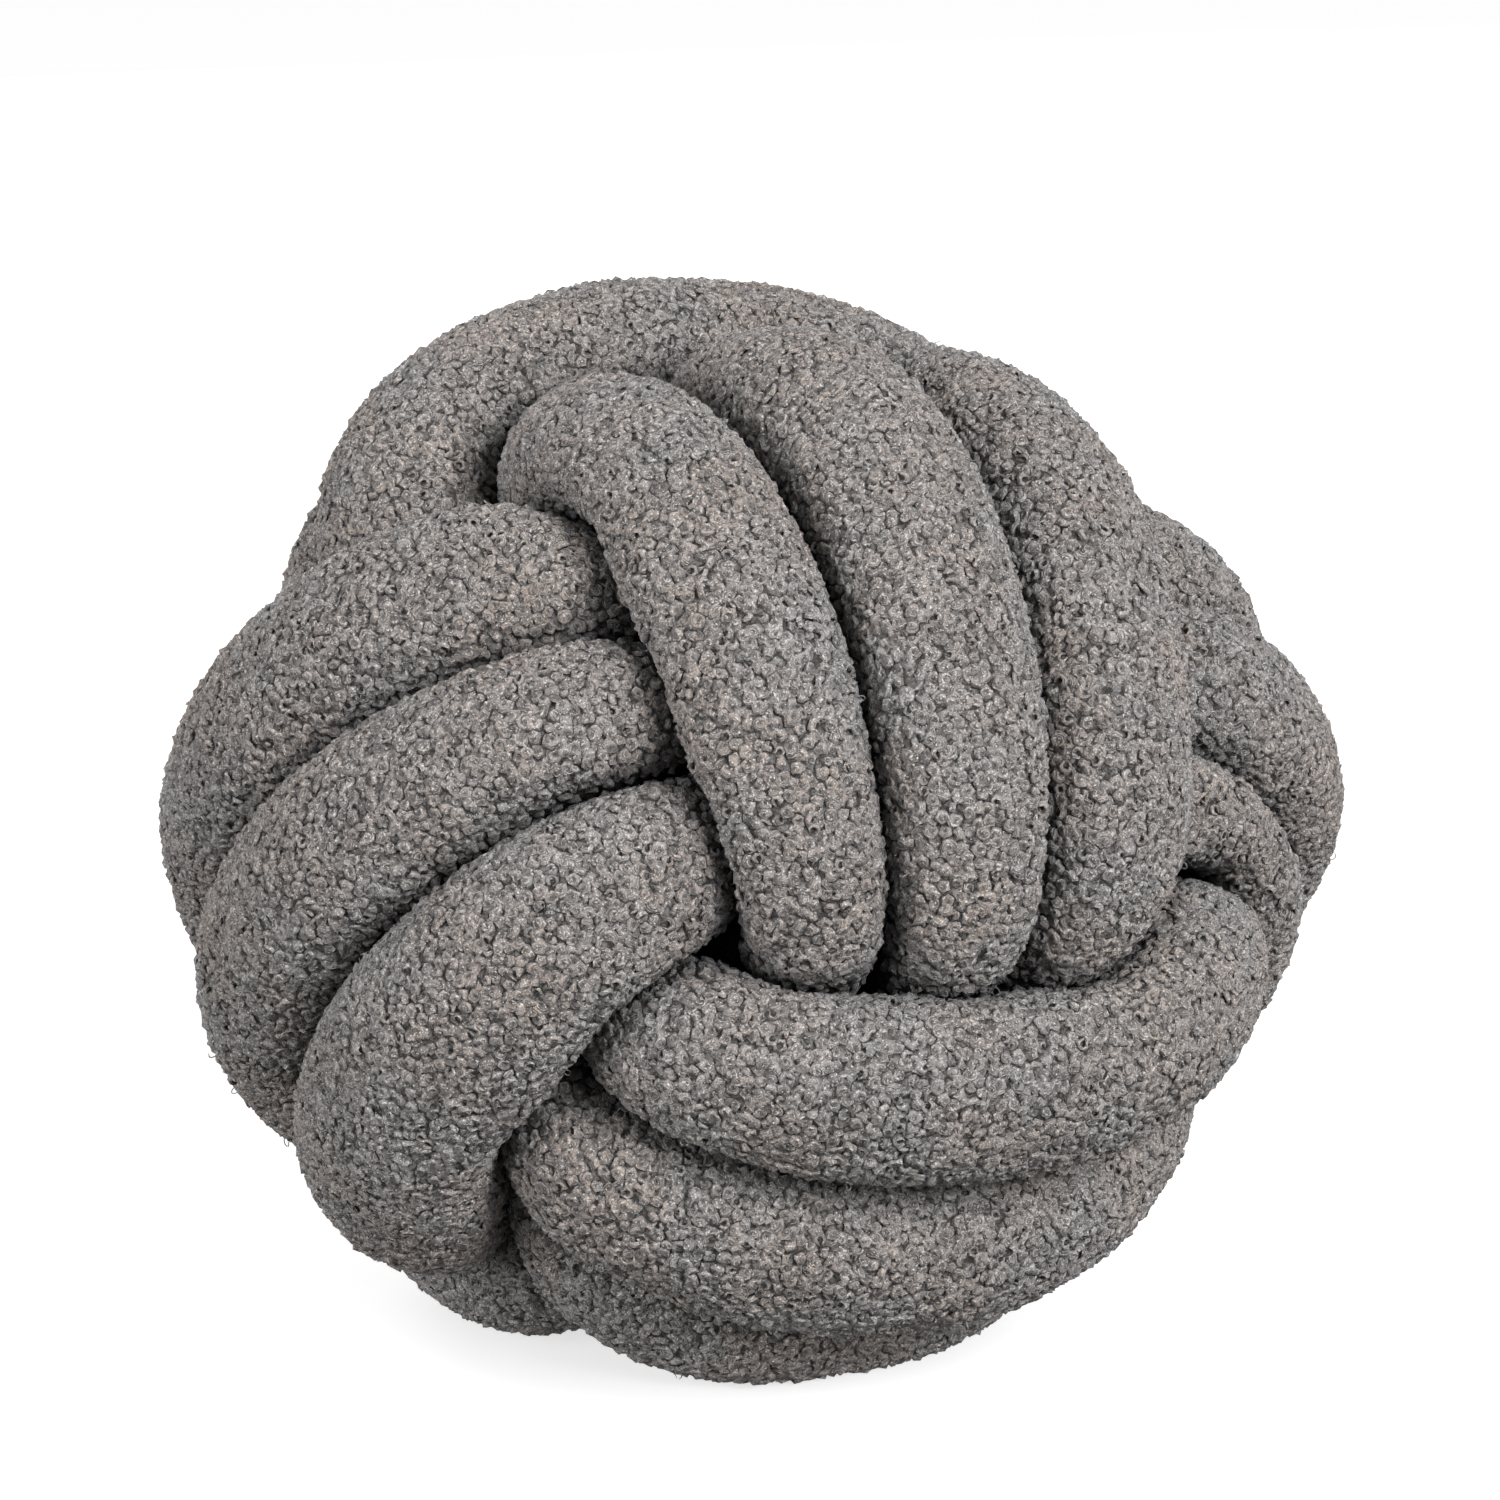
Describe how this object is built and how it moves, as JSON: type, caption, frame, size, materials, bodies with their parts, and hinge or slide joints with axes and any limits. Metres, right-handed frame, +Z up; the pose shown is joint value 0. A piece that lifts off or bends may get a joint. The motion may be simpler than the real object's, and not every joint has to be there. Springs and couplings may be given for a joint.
{
  "type": "knot cushion",
  "caption": "Round cushion tied from a long stuffed tube of grey boucle cloth, with strands that cross on every side.",
  "frame": {"origin": "on the floor, under the middle of the ball's box", "axes": "+Z up, -Y towards the side that the picture shows, +X to the right in the picture"},
  "size_m": [0.2498, 0.2466, 0.2163],
  "materials": {
    "boucle_cloth": "matt curly boucle, with nubs 2.5 to 3 mm wide"
  },
  "bodies": {
    "root": {"knot_tube": "boucle_cloth"}
  },
  "joints": []
}
